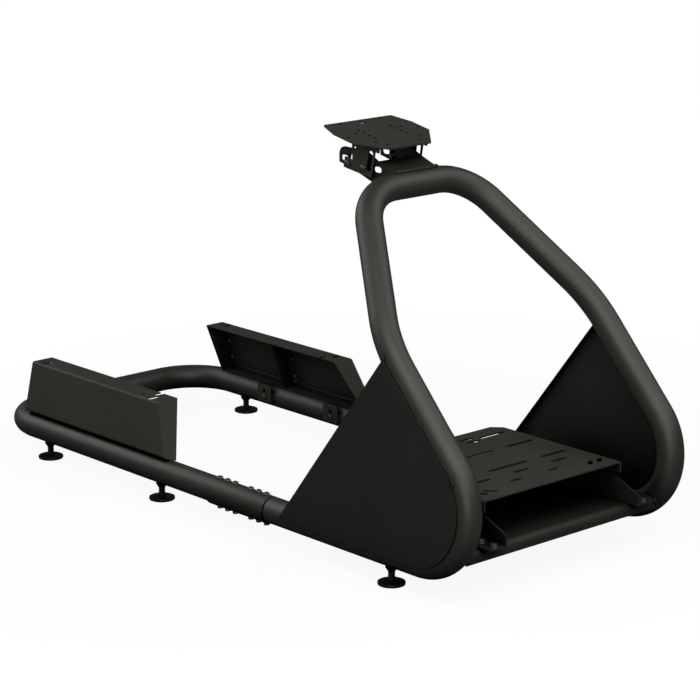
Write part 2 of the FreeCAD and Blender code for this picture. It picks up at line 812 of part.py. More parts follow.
def make_wheel_fork():
    """Folded channel welded on the top bar: sloping web and two cheeks with arc slots for the lock bolts."""
    body = new_body("wheel_fork")
    web_end_y = "-fork_web_length * cos(fork_web_slope)"
    web_end_z = "tube_r + fork_web_length * sin(fork_web_slope)"
    cheek = sketch_on(body, "YZ_Plane")
    outline(cheek, [
        ("-tube_r", "-fork_bite"), ("0", "tube_r"), (web_end_y, web_end_z), ("-fork_reach / 2", "fork_top"),
        ("fork_round - fork_reach", "fork_top"), ("-fork_reach", "fork_top - fork_round"),
        ("-fork_reach", "fork_top - fork_tail"), ("fork_chin - fork_reach", "fork_top - fork_chin_drop"),
        ("-fork_throat", "0"),
    ], {4: ("fork_round", "fork_round - fork_reach", "fork_top - fork_round")})
    pad(body, cheek, "fork_width", both_ways=True)
    inside = sketch_on(body, "YZ_Plane")
    thin = "fork_sheet / cos(fork_web_slope)"
    past_top, past_rear = "fork_top + overcut", "-fork_reach - overcut"
    outline(inside, [
        ("tube_r", "-tube_r"), ("tube_r", f"tube_r - {thin} - tube_r * tan(fork_web_slope)"),
        (web_end_y, f"{web_end_z} - {thin}"), (web_end_y, past_top), (past_rear, past_top),
        (past_rear, "-tube_r"),
    ])
    pocket(body, inside, "fork_width - 2 * fork_sheet", both_ways=True)
    through = "fork_width + 2 * overcut"
    for radius, spots in (
        ("tube_r + seat_fit", [("0", "0")]), ("bolt_hole_r", [("-pivot_back", "pivot_up")]),
    ):
        pocket(body, holes(sketch_on(body, "YZ_Plane"), radius, spots), through, both_ways=True)
    arc_slot(body, through)
    window = sketch_on(body, "YZ_Plane")
    slots(window, "window_length", "window_width", [("window_back - fork_reach", "fork_top - window_down")])
    slots(window, "fork_slot_length", "fork_slot_width", [("-fork_slot_back", "pivot_up")])
    pocket(body, window, through, both_ways=True)
    place(body, "0", "bar_y", "bar_z")


def make_tilt_bracket():
    """Folded channel under the wheel plate: slotted ears that pivot outside the fork, and lock lobes."""
    body = new_body("tilt_bracket")
    lock = ("lock_radius * cos(lock_angle + tilt_rest)", "lock_radius * sin(lock_angle + tilt_rest)")
    rear, low = f"({lock[0]} - lobe_r)", f"({lock[1]} - lobe_r)"
    section = sketch_on(body, "XZ_Plane", f"-{rear}")
    deep = f"(flange_top - {low})"
    folded_channel(section, "-ear_x", "ear_x", "flange_top", deep, "ear_sheet", "ear_fold")
    feature = pad(body, section, f"nose_length - {rear}")
    feature.Reversed = True
    doc.recompute()
    across = "2 * (ear_x + overcut)"
    below = f"{low} - overcut"
    under_nose = sketch_on(body, "YZ_Plane")
    outline(under_nose, [
        ("ear_front", "flange_top - nose_depth"), ("ear_front", below), ("nose_length + overcut", below),
        ("nose_length + overcut", "flange_top - nose_depth"),
    ])
    pocket(body, under_nose, across, both_ways=True)
    behind_ear = sketch_on(body, "YZ_Plane")
    lobe_top = f"{lock[1]} + lobe_r"
    outline(behind_ear, [
        (f"{rear} - overcut", "flange_top - ear_fold"), (f"{rear} - overcut", lobe_top),
        (lock[0], lobe_top),
        ("-ear_low_rear", lobe_top), ("-ear_top_rear", "flange_top - ear_fold"),
    ])
    pocket(body, behind_ear, across, both_ways=True)
    below_ear = sketch_on(body, "YZ_Plane")
    outline(below_ear, [
        (lock[0], low), (lock[0], below), ("ear_front", below), ("ear_front", "-ear_drop"),
    ])
    pocket(body, below_ear, across, both_ways=True)
    for radius, spots in (
        ("bolt_hole_r", [("0", "0"), lock]),
        ("ear_hole_dia / 2", [("-ear_hole_back", "flange_top - ear_hole_down")]),
    ):
        pocket(body, holes(sketch_on(body, "YZ_Plane"), radius, spots), across, both_ways=True)
    slot = sketch_on(body, "YZ_Plane")
    upright = "90"
    middle = ("ear_slot_ahead", "flange_top - ear_slot_down")
    slots(slot, "ear_slot_length", "ear_slot_width", [middle], upright)
    pocket(body, slot, across, both_ways=True)
    place(body, "0", "pivot_y", "pivot_z", "-tilt_rest")


def make_wheel_plate():
    """Six-sided plate, drilled for wheel bases."""
    body = new_body("wheel_plate")
    face = sketch_on(body, "XY_Plane", "flange_top")
    right = [
        ("plate_rear_width / 2", "-plate_rear"), ("plate_width / 2", "-plate_shoulder"),
        ("plate_width / 2", "-plate_waist"), ("plate_front_width / 2", "plate_front"),
    ]
    outline(face, right + [("-" + x, y) for x, y in reversed(right)])
    pad(body, face, "plate_thickness")
    drill = sketch_on(body, "XY_Plane", "plate_rise")
    rows = ["wheel_hole_spread"] + [f"{step} * wheel_hole_pitch" for step in range(4)]
    pairs = [("wheel_hole_spread", f"{row} - wheel_last_hole") for row in rows] + [
        ("outer_hole_spread", "-outer_hole_rear"), ("outer_hole_spread", "outer_hole_front"),
        ("side_hole_spread", "-side_hole_rear"), ("side_hole_spread", "-side_hole_front"),
        ("tail_hole_spread", "-tail_hole_rear"),
    ]
    holes(drill, "wheel_hole_dia / 2", [
        (f"{sign}{spread} / 2", row) for spread, row in pairs for sign in ("", "-")
    ])
    holes(drill, "cable_hole_dia / 2", [("0", "-cable_hole_rear")])
    pocket(body, drill, "plate_thickness")
    place(body, "0", "pivot_y", "pivot_z", "-tilt_rest")


def make_tilt_bolts():
    """Bolts through ear and cheek on each side: the pivots and the lock bolts, with their spacers."""
    spots = {"pivot": ("pivot_y", "pivot_z"), "lock": (
        "pivot_y + lock_radius * cos(lock_angle)", "pivot_z + lock_radius * sin(lock_angle)")}
    grip = "fork_sheet + ear_gap + ear_sheet"
    for name, (along, up) in spots.items():
        body = new_body(f"{name}_bolt_right")
        for start, length, radius in (
            ("fork_x - fork_sheet - bolt_head_height", f"{grip} + bolt_head_height", "bolt_r"),
            ("ear_x", "bolt_head_height", "bolt_head_dia / 2"),
        ):
            pad(body, holes(sketch_on(body, "YZ_Plane", start), radius, [("0", "0")]), length)
        place(body, "0", along, up)
        mirrored(body, f"{name}_bolt_left")


make_front_hoop()
make_seat_frame()
make_sleeves()
make_clamp_saddles()
make_feet()
make_side_panels()
make_seat_brackets()
make_seat_lugs()
make_pedal_base()
make_gussets()
make_pedal_deck()
make_wheel_fork()
make_tilt_bracket()
make_wheel_plate()
make_tilt_bolts()

doc.recompute()
for thing in doc.Objects:
    if "Invalid" in thing.State or "Error" in thing.State:
        raise RuntimeError(f"{thing.Label} failed: {thing.State}")
os.makedirs("parts", exist_ok=True)
for node in nodes:
    if node.Shape.isNull() or not node.Shape.isValid():
        raise RuntimeError(f"{node.Label} has no valid shape")
    node.Shape.exportStep(f"parts/{node.Label}.step")
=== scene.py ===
"""Sim racing cockpit: finishes, fasteners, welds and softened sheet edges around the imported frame.

Metres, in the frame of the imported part: X the driver's right, Y the way the driver faces, Z up.
"""
import json
import math

import bmesh
import bpy
from bmesh.types import BMEdge, BMVert
from mathutils import Matrix, Vector


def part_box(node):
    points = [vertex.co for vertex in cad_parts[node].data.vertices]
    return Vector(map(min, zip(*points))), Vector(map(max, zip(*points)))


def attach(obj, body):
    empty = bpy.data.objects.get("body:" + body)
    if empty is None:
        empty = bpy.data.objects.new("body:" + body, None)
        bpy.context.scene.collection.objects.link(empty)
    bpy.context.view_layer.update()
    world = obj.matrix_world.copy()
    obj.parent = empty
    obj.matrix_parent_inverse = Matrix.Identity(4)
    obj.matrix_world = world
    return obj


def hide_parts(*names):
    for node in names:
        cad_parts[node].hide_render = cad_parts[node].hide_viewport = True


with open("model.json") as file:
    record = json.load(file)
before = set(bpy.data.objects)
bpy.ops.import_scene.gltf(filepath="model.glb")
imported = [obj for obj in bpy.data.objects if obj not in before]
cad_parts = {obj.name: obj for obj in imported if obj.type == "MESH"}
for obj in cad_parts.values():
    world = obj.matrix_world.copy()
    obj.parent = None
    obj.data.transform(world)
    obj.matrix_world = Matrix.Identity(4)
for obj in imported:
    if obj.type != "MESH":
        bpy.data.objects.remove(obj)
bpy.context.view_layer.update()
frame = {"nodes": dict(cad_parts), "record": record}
scene = bpy.context.scene

MM = 0.001
SIDES = ((1, "right"), (-1, "left"))
AHEAD = Vector((0, 1, 0))
UP = Vector((0, 0, 1))
MERGED = 0.01 * MM

# The bent tube
TUBE_R = 25 * MM
TUBE_WALL = 2 * MM
HOOP_LEAN = math.radians(47)
FOOT_BEND = 112 * MM
SHOULDER_BEND = 254 * MM
CORNER_BEND = 110 * MM
REAR_BEND = 109 * MM
SHOULDER_RISE = 372 * MM
TOP_SPAN = 248 * MM
ROUND_SIDES = 64
BEND_STEP = math.radians(2.5)
RIM_ROUND = 0.8 * MM
RIM_ANGLE = math.radians(60)

hoop_low, hoop_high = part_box("front_hoop")
RAIL_X, RAIL_Z = hoop_high.x - TUBE_R, hoop_low.z + TUBE_R
BAR_Z = hoop_high.z - TUBE_R
CORNER_Y = hoop_high.y - TUBE_R - FOOT_BEND + FOOT_BEND / math.tan(HOOP_LEAN / 2)
BAR_Y = CORNER_Y - (BAR_Z - RAIL_Z) / math.tan(HOOP_LEAN)

# Sheet edges
EDGE_ROUND = 0.5 * MM
CUT_ROUND = 0.25 * MM
SHARP = math.radians(32)
FLAT = math.radians(0.3)
SAME_CORNER = 0.005 * MM

# The telescopic joint's screws and the saddle under it
SCREW_PITCH = 22.4 * MM
FIRST_SCREW = 14 * MM
SCREW_STEPS = (0, 1, 2, 4, 5, 6)
JOINT_HEAD, JOINT_HEAD_TALL = 12.5 * MM, 5.5 * MM
JOINT_NUT = 6 * MM
SADDLE_IN = TUBE_R + 1.6 * MM
SADDLE_OUT = TUBE_R + 2.7 * MM
SADDLE_WRAP = math.radians(88)
SADDLE_STEPS = 24
SADDLE_SLANT = Vector((0, 16, 12)) * MM

# Other fasteners
WASHER = 1.6 * MM
NUT_ROUND = 0.3 * MM
TILT_HEAD, TILT_HEAD_TALL, TILT_SHANK_R = 11 * MM, 5 * MM, 4 * MM
TILT_WASHER = 1.5 * MM
GUSSET_SHEET, GUSSET_THREAD = 3 * MM, 7 * MM
SEAT_HEAD, SEAT_HEAD_TALL = 9 * MM, 3.6 * MM

# Places read from the photograph, in millimetres
GUSSET_BOLTS = ((188, 643), (190, 675), (188, 372))
LUG_PLACES = (-425, -215)
LUG_HALF, LUG_WELD = 22.8, (50, 68)
WEB_TOP_X, WEB_TOP_Z, WEB_LEAN = 248.3, 188, 21.5 / 98.5
RIB_SCREWS = ((-368, (146, 108, 97)), (-574, (147, 110)))
TRAY_STITCHES = ((335, 395), (420, 480), (505, 560))
LIP_END = ((234, 664, 93), (236.5, 664, 87), (239, 664, 81), (241, 664, 77.5))
PANEL_TACKS = ((493.6, 417, 47), (584.6, 318, 47), (666.6, 231, 58.6))
STITCH_X, STITCH_UP = 234.6 * MM, 12.5 * MM

# Weld beads: their widths, then their rings and swell as shares of the width
FORK_BEAD, CHEEK_BEAD = 9 * MM, 7 * MM
LIP_BEAD, STITCH_BEAD = 9 * MM, 6 * MM
TACK_BEAD, TACK_HALF = 4 * MM, 7 * MM
LUG_BEAD = 4.5 * MM
CHEEK_ARC = [math.radians(angle) for angle in range(-4, 89, 8)]
BEAD_STEP, BEAD_SWELL, BEAD_RIPPLE = 0.28, 0.44, 0.06
BEAD_SIDES, RINGS_A_RIPPLE = 8, 3

# Levelling feet: the pad as shares of its radius and height, the collar in millimetres from its rim
FOOT_ROWS = (("front", "front_frame"), ("middle", "seat_frame"), ("rear", "seat_frame"))
PAD_PROFILE = (
    (0, 0), (0.93, 0), (0.985, 0.08), (1, 0.22), (1, 0.55), (0.985, 0.68), (0.93, 0.76),
    (0.6, 0.88), (0.42, 0.95), (0.38, 1), (0, 1),
)
PAD_SIDES = 48
COLLAR_PROFILE = ((5.4, -8), (5, -7.6), (2.6, -4), (0.4, -0.6), (0.4, 0))
THREAD_R, THREAD_DEPTH, HALF_PITCH, HALF_TURNS = 6.4 * MM, 0.6 * MM, 0.75 * MM, 21
FOOT_NUT, FOOT_NUT_TALL = 15 * MM, 4 * MM

# How far the painted shade in recesses reaches: the distance over which nearby surfaces darken the coat
SHADE_REACH = 200 * MM

# The studio: a white floor that is a shade greyer near the object, in a room that is dark but for the lamps
FLOOR_HALF = 60
FLOOR_PAINT = "#616161"
NEAR_WHITE, NEAR, AWAY = 0.92, 0.8, 2.2
ROOM = 0.02
GLANCE = 0.05

# Lamps, a shade off white: what each is aimed at, the way to it, how far off it is, its size and its watts
LAMP_TINT = (1, 1, 0.96)
LAMPS = (
    ("left_box", (0.26, -0.35, 0.12), (0.3, -0.7, 0.65), 2.2, 2, 18),
    ("right_box", (0, 0.27, 0.65), (-0.65, 0.4, 0.6), 2.6, 2, 14),
    ("high_box", (0, 0.45, 0.3), (0.55, 0.33, 0.72), 2.6, 2, 21),
    ("brow_box", (0, 0.45, 0.4), (0.1, 0.76, 0.64), 2.6, 2, 19),
    ("front_box", (0.1, 0.68, 0.15), (0.68, 0.68, 0.14), 2.8, 0.9, 11),
)

# The photograph's own view, solved from the tube's edges
SENSOR, LENS = 36, 132.85
CAMERA_AT = (3.1755, 3.6096, 1.5363)
CAMERA_RIGHT = (-0.742, 0.6704, 0.0019)
CAMERA_UP = (-0.1679, -0.1885, 0.9676)
CAMERA_BACK = (0.649, 0.7177, 0.2524)


# Finishes

def linear(colour):
    """A written sRGB colour as the linear values that a shader takes."""
    shares = [int(colour[place:place + 2], 16) / 255 for place in (1, 3, 5)]
    return [share / 12.92 if share <= 0.04045 else ((share + 0.055) / 1.055) ** 2.4 for share in shares] + [1]


def add(tree, kind, inputs=None, stops=(), **settings):
    """Adds a node, with its settings, its inputs as values or as links, and a ramp's stops."""
    made = tree.nodes.new("ShaderNode" + kind)
    for name, setting in settings.items():
        setattr(made, name, setting)
    for name, given in (inputs or {}).items():
        if isinstance(given, bpy.types.NodeSocket):
            tree.links.new(given, made.inputs[name])
        else:
            made.inputs[name].default_value = given
    for number, (position, colour) in enumerate(stops):
        made.color_ramp.elements[number].position = position
        made.color_ramp.elements[number].color = linear(colour)
    return made


def blank(name):
    """A new material's node tree, emptied, and the coordinates that its patterns read."""
    material = bpy.data.materials.new(name)
    material.use_nodes = True
    tree = material.node_tree
    tree.nodes.clear()
    return material, tree, add(tree, "TexCoord").outputs["Object"]


def coated(name, dark, pale, sheen, roughness, grain, relief):
    """Black polyester powder coat baked on steel.

    Fused grains of powder give a fine orange peel that breaks up the highlights, and the film's thickness
    drifts, so that patches a hand wide are a shade paler. Holes, slots, the inside of folds and other
    recesses
    get painted shade: where other surfaces are near, the colour and specular level are scaled down, so they
    look darker and duller.
    """
    material, tree, coords = blank(name)
    peel = add(tree, "TexNoise", {"Vector": coords, "Scale": 1 / grain, "Detail": 2, "Roughness": 0.6})
    drift = add(tree, "TexNoise", {"Vector": coords, "Scale": 1 / (90 * MM), "Detail": 4, "Roughness": 0.55})
    tone = add(tree, "ValToRGB", {"Fac": drift.outputs["Fac"]}, stops=((0.35, dark), (0.7, pale)))
    gloss = add(tree, "MapRange", {
        "Value": peel.outputs["Fac"], "From Min": 0.3, "From Max": 0.7,
        "To Min": roughness - 0.06, "To Max": roughness + 0.06,
    })
    bump = add(tree, "Bump", {"Height": peel.outputs["Fac"], "Strength": 0.5, "Distance": relief})
    # Painted shade: colour and specular level are scaled down in holes, slots, folds and other recesses, by
    # how near other surfaces are
    occlusion = add(tree, "AmbientOcclusion", {"Distance": SHADE_REACH}, samples=8)
    film = add(tree, "MapRange", {"Value": occlusion.outputs["AO"], "From Min": 0.22, "From Max": 0.8})
    depth = film.outputs["Result"]
    colour = add(tree, "VectorMath", {0: tone.outputs["Color"], "Scale": depth}, operation="SCALE")
    shine = add(tree, "Math", {0: depth, 1: sheen}, operation="MULTIPLY")
    shader = add(tree, "BsdfPrincipled", {
        "Base Color": colour.outputs["Vector"], "Roughness": gloss.outputs["Result"],
        "Normal": bump.outputs["Normal"], "IOR": 1.5, "Specular IOR Level": shine.outputs["Value"],
    })
    add(tree, "OutputMaterial", {"Surface": shader.outputs["BSDF"]})
    return material


def black_plate(name, dark, pale):
    """Black plate on turned and cold-headed steel: dark metal with a faint cloudy sheen."""
    material, tree, coords = blank(name)
    bloom = add(tree, "TexNoise", {"Vector": coords, "Scale": 1 / (4 * MM), "Detail": 5, "Roughness": 0.65})
    tone = add(tree, "ValToRGB", {"Fac": bloom.outputs["Fac"]}, stops=((0.3, dark), (0.75, pale)))
    gloss = add(tree, "MapRange", {"Value": bloom.outputs["Fac"], "To Min": 0.3, "To Max": 0.5})
    shader = add(tree, "BsdfPrincipled", {
        "Base Color": tone.outputs["Color"], "Roughness": gloss.outputs["Result"], "Metallic": 0.75,
    })
    add(tree, "OutputMaterial", {"Surface": shader.outputs["BSDF"]})
    return material


def drawn_steel(name):
    """Oiled black drawn tube: fine scratches along the draw, with the mill scale showing through."""
    material, tree, coords = blank(name)
    along = add(tree, "Mapping", {"Vector": coords, "Scale": (1, 0.02, 1)})
    lines = add(tree, "TexNoise", {"Vector": along.outputs["Vector"], "Scale": 1 / (0.8 * MM), "Detail": 3})
    tone = add(tree, "ValToRGB", {"Fac": lines.outputs["Fac"]}, stops=((0.3, "#1c1b1a"), (0.7, "#2e2d2b")))
    bump = add(tree, "Bump", {"Height": lines.outputs["Fac"], "Strength": 0.3, "Distance": 0.05 * MM})
    shader = add(tree, "BsdfPrincipled", {
        "Base Color": tone.outputs["Color"], "Roughness": 0.38, "Metallic": 1,
        "Normal": bump.outputs["Normal"],
    })
    add(tree, "OutputMaterial", {"Surface": shader.outputs["BSDF"]})
    return material


def moulded_rubber(name):
    """Hard black rubber from a spark-eroded mould: a dark, even skin with a fine grain and a soft shine."""
    material, tree, coords = blank(name)
    skin = add(tree, "TexNoise", {"Vector": coords, "Scale": 1 / (0.7 * MM), "Detail": 2})
    dust = add(tree, "TexNoise", {"Vector": coords, "Scale": 1 / (9 * MM), "Detail": 4})
    tone = add(tree, "ValToRGB", {"Fac": dust.outputs["Fac"]}, stops=((0.35, "#070707"), (0.8, "#0e0e0d")))
    bump = add(tree, "Bump", {"Height": skin.outputs["Fac"], "Strength": 0.4, "Distance": 0.06 * MM})
    shader = add(tree, "BsdfPrincipled", {
        "Base Color": tone.outputs["Color"], "Roughness": 0.42, "Normal": bump.outputs["Normal"],
        "IOR": 1.52, "Specular IOR Level": 0.4,
    })
    add(tree, "OutputMaterial", {"Surface": shader.outputs["BSDF"]})
    return material


# The peel is drawn about twice as coarse as it is, so that it shows
TUBE_COAT = coated("powder_coat_tube", "#25241f", "#2b2a24", 1.0, 0.52, 2.2 * MM, 0.12 * MM)
PANEL_COAT = coated("powder_coat_panel", "#252524", "#292927", 0.42, 0.54, 1.9 * MM, 0.09 * MM)
SHEET_COAT = coated("powder_coat_sheet", "#3c3c38", "#42423d", 0.34, 0.54, 1.9 * MM, 0.1 * MM)
# A darker copy of the sheet coat: painted shade on the tray, gussets, saddles and fork, which stand in less
# light
SHADED_SHEET_COAT = coated("powder_coat_sheet_painted_shade", "#2b2b28", "#30302c", 0.3, 0.54, 1.9 * MM, 0.1 * MM)
# Black zinc on the screws, which catch the light, and a duller black oxide on the feet
SCREW_METAL = black_plate("black_zinc_steel", "#565654", "#82827f")
STEM_METAL = black_plate("black_oxide_steel", "#181817", "#2c2c2b")
FINISHES = {
    "frame_tube": TUBE_COAT, "side_panel": PANEL_COAT, "sheet_steel": SHEET_COAT,
    "black_fastener": SCREW_METAL, "inner_tube": drawn_steel("drawn_steel"),
    "foot_pad": moulded_rubber("moulded_rubber"),
}


# Making pieces

def finished(name, bm, slot, body, *nodes, finish=None, weighted=False):
    """Turns a mesh into a piece that rides on a body and stands for the CAD nodes named."""
    mesh = bpy.data.meshes.new(name)
    bm.to_mesh(mesh)
    bm.free()
    mesh.materials.append(finish or FINISHES[slot])
    mesh.shade_smooth()
    mesh.set_sharp_from_angle(angle=SHARP)
    thing = bpy.data.objects.new(name, mesh)
    scene.collection.objects.link(thing)
    if weighted:
        flat = thing.modifiers.new("flat_faces", "WEIGHTED_NORMAL")
        flat.keep_sharp = True
    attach(thing, body)
    if nodes:
        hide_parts(*nodes)


def only(kind, parts):
    """Those of an operator's results that are of one kind."""
    return [part for part in parts if isinstance(part, kind)]


def added(bm, before):
    """The vertices that a mesh has gained."""
    return [vert for vert in bm.verts if vert not in before]


def faced_outward(bm, verts):
    bmesh.ops.recalc_face_normals(bm, faces=list({face for vert in verts for face in vert.link_faces}))


def facing(at, out):
    """The place of a shape that stands at a point with its own Z along out."""
    return Matrix.Translation(at) @ out.to_track_quat("Z", "Y").to_matrix().to_4x4()


def turned(bm, profile, place, steps=32):
    """A lathe-turned shape from (radius, height) points, from its foot to its tip."""
    before = set(bm.verts)
    rim = [bm.verts.new((radius, 0, height)) for radius, height in profile]
    edges = [bm.edges.new(pair) for pair in zip(rim, rim[1:])]
    bmesh.ops.spin(
        bm, geom=rim + edges, cent=(0, 0, 0), axis=UP, angle=2 * math.pi, steps=steps, use_merge=True,
    )
    bmesh.ops.remove_doubles(bm, verts=added(bm, before), dist=MERGED)
    made = added(bm, before)
    faced_outward(bm, made)
    bmesh.ops.transform(bm, matrix=place, verts=made)


def hexagon(bm, across, height, place):
    """A nut or a bolt's head, with its width across flats and its edges broken."""
    before = set(bm.verts)
    bmesh.ops.create_circle(bm, cap_ends=True, segments=6, radius=across / 2 / math.cos(math.pi / 6))
    base = [face for face in bm.faces if before.isdisjoint(face.verts)]
    top = bmesh.ops.extrude_face_region(bm, geom=base)["geom"]
    bmesh.ops.translate(bm, vec=(0, 0, height), verts=only(BMVert, top))
    made = added(bm, before)
    faced_outward(bm, made)
    edges = list({edge for vert in made for edge in vert.link_edges})
    bmesh.ops.bevel(bm, geom=edges, offset=NUT_ROUND, segments=2, profile=0.5, affect="EDGES", material=-1)
    bmesh.ops.transform(bm, matrix=place, verts=added(bm, before))


def hex_bolt(bm, at, out, thread):
    """A hexagon head on a washer."""
    across, height = 1.62 * thread, 0.66 * thread
    turned(bm, [
        (0, 0), (thread, 0), (thread, WASHER * 0.7), (thread - WASHER * 0.3, WASHER), (0, WASHER),
    ], facing(at, out))
    hexagon(bm, across, height, facing(at + out * WASHER, out))


def socket_screw(bm, at, out, head, height):
    """A domed head with a hexagon socket."""
    radius, socket, depth, shoulder = head / 2, 0.3 * head, 0.55 * height, 0.45
    before = set(bm.verts)
    bow = [math.radians(angle) for angle in (15, 30, 45, 60)]
    rise = [shoulder + (1 - shoulder) * math.sin(angle) / math.sin(bow[-1]) for angle in bow]
    turned(bm, [(0, 0), (radius * 0.94, 0), (radius, height * shoulder)] + [
        (radius * math.cos(angle), height * share) for angle, share in zip(bow, rise)
    ] + [(socket, height)], Matrix())
    top = Matrix.Translation((0, 0, height))
    mouth = bmesh.ops.create_circle(bm, cap_ends=True, segments=6, radius=socket * 0.8, matrix=top)["verts"]
    floor = [face for face in bm.faces if set(face.verts) == set(mouth)]
    edges = {edge for vert in added(bm, before) for edge in vert.link_edges if edge.is_boundary}
    bmesh.ops.bridge_loops(bm, edges=list(edges))
    sunk = bmesh.ops.extrude_face_region(bm, geom=floor)["geom"]
    bmesh.ops.translate(bm, vec=(0, 0, -depth), verts=only(BMVert, sunk))
    bmesh.ops.delete(bm, geom=floor, context="FACES")
    made = added(bm, before)
    faced_outward(bm, made)
    bmesh.ops.transform(bm, matrix=facing(at, out), verts=made)


def drawn_on(bm, ring, move):
    """The next ring of a skin: the edges of the last one, extruded and moved."""
    grown = bmesh.ops.extrude_edge_only(bm, edges=ring)["geom"]
    verts = only(BMVert, grown)
    bmesh.ops.transform(bm, matrix=move, verts=verts)
    return [edge for edge in only(BMEdge, grown) if set(edge.verts) <= set(verts)]


def bead(bm, points, size):
    """A weld along a line of points: one skin that swells and narrows with each ripple."""
    spots = []
    for start, end in zip(points, points[1:]):
        run = end - start
        count = max(2, round(run.length / (BEAD_STEP * size)))
        spots += [(start + run * (step / count), run) for step in range(count)]
    spots.append((points[-1], points[-1] - points[-2]))
    places = []
    for number, (at, run) in enumerate(spots):
        swell = BEAD_SWELL + BEAD_RIPPLE * math.cos(number * 2 * math.pi / RINGS_A_RIPPLE)
        if number in (0, len(spots) - 1):
            swell /= 2
        places.append(facing(at, run) @ Matrix.Scale(size * swell, 4))
    before = set(bm.verts)
    start = bmesh.ops.create_circle(bm, segments=BEAD_SIDES, radius=1, matrix=places[0])["verts"]
    first = list({edge for vert in start for edge in vert.link_edges})
    ring = first
    for place, following in zip(places, places[1:]):
        ring = drawn_on(bm, ring, following @ place.inverted())
    for end in (first, ring):
        bmesh.ops.edgeloop_fill(bm, edges=end)
    faced_outward(bm, added(bm, before))


# Bent tubes

def bent_tube(corners, bends):
    """A hollow round tube along straight runs and tangent bends, with rounded rims."""
    bm = bmesh.new()
    bmesh.ops.create_circle(
        bm, segments=ROUND_SIDES, radius=TUBE_R, matrix=facing(corners[0], corners[1] - corners[0]),
    )
    ring = list(bm.edges)
    here = corners[0]
    for before, corner, after, bend in zip(corners, corners[1:], corners[2:], bends):
        back = (before - corner).normalized()
        onward = (after - corner).normalized()
        half = back.angle(onward) / 2
        start = corner + back * (bend / math.tan(half))
        ring = drawn_on(bm, ring, Matrix.Translation(start - here))
        centre = corner + (back + onward).normalized() * (bend / math.sin(half))
        turn = math.pi - 2 * half
        last = bmesh.ops.spin(
            bm, geom=ring, cent=centre, axis=(-back).cross(onward), angle=turn,
            steps=math.ceil(turn / BEND_STEP),
        )["geom_last"]
        ring = only(BMEdge, last)
        here = corner + onward * (bend / math.tan(half))
    drawn_on(bm, ring, Matrix.Translation(corners[-1] - here))
    bmesh.ops.remove_doubles(bm, verts=bm.verts, dist=MERGED)
    bmesh.ops.recalc_face_normals(bm, faces=bm.faces)
    bmesh.ops.solidify(bm, geom=list(bm.faces), thickness=TUBE_WALL)
    rims = [edge for edge in bm.edges if edge.is_manifold and edge.calc_face_angle() > RIM_ANGLE]
    bmesh.ops.bevel(bm, geom=rims, offset=RIM_ROUND, segments=3, profile=0.5, affect="EDGES", material=-1)
    return bm


def whole_path(half):
    """A path over both sides, from its right-hand half."""
    return half + [Vector((-point.x, point.y, point.z)) for point in reversed(half)]


def make_tubes():
    """The hoop, and the seat frame's tube that meets its rails."""
    def on_leg(x, rise):
        return Vector((x, CORNER_Y - rise / math.tan(HOOP_LEAN), RAIL_Z + rise))

    hoop = [
        Vector((RAIL_X, hoop_low.y, RAIL_Z)), on_leg(RAIL_X, 0),
        on_leg(RAIL_X, SHOULDER_RISE), on_leg(TOP_SPAN / 2, BAR_Z - RAIL_Z),
    ]
    bends = [FOOT_BEND, SHOULDER_BEND, CORNER_BEND]
    bm = bent_tube(whole_path(hoop), bends + bends[::-1])
    finished("hoop_tube", bm, "frame_tube", "front_frame", "front_hoop")
    low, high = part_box("seat_frame_tube")
    seat = [Vector((RAIL_X, high.y, RAIL_Z)), Vector((RAIL_X, low.y + TUBE_R, RAIL_Z))]
    bm = bent_tube(whole_path(seat), [REAR_BEND] * 2)
    finished("seat_tube", bm, "frame_tube", "seat_frame", "seat_frame_tube")


# Sheet parts

def broken(bm, width):
    """Takes the sharp edges off a sheet part."""
    sharp = [edge for edge in bm.edges if edge.is_manifold and edge.calc_face_angle() > SHARP]
    bmesh.ops.bevel(
        bm, geom=sharp, offset=width, segments=2, profile=0.5, affect="EDGES", material=-1,
        clamp_overlap=True,
    )


def softened(name, node, slot, body, edge=EDGE_ROUND, finish=None):
    """The sheet part as it is cut and folded, with its edges broken as they are before coating."""
    bm = bmesh.new()
    bm.from_mesh(frame["nodes"][node].data)
    bmesh.ops.remove_doubles(bm, verts=bm.verts, dist=SAME_CORNER)
    bmesh.ops.dissolve_limit(bm, angle_limit=FLAT, verts=bm.verts, edges=bm.edges)
    broken(bm, edge)
    finished(name, bm, slot, body, node, finish=finish, weighted=True)


def make_sheet_parts():
    """Panels, gussets, brackets, tray, deck and the wheel's mount, from their solids."""
    for _, word in SIDES:
        softened(f"panel_{word}", f"side_panel_{word}", "side_panel", "front_frame")
        softened(f"gusset_{word}", f"pedal_gusset_{word}", "sheet_steel", "front_frame", finish=SHADED_SHEET_COAT)
        softened(f"chair_bracket_{word}", f"seat_bracket_{word}", "sheet_steel", "seat_frame")
        softened(f"lugs_{word}", f"seat_lugs_{word}", "sheet_steel", "seat_frame")
    softened("tray", "pedal_base", "sheet_steel", "front_frame", finish=SHADED_SHEET_COAT)
    softened("slotted_deck", "pedal_deck", "sheet_steel", "front_frame", CUT_ROUND)
    softened("fork", "wheel_fork", "sheet_steel", "front_frame", finish=SHADED_SHEET_COAT)
    softened("tilting_bracket", "tilt_bracket", "sheet_steel", "wheel_deck")
    softened("drilled_plate", "wheel_plate", "sheet_steel", "wheel_deck", CUT_ROUND)


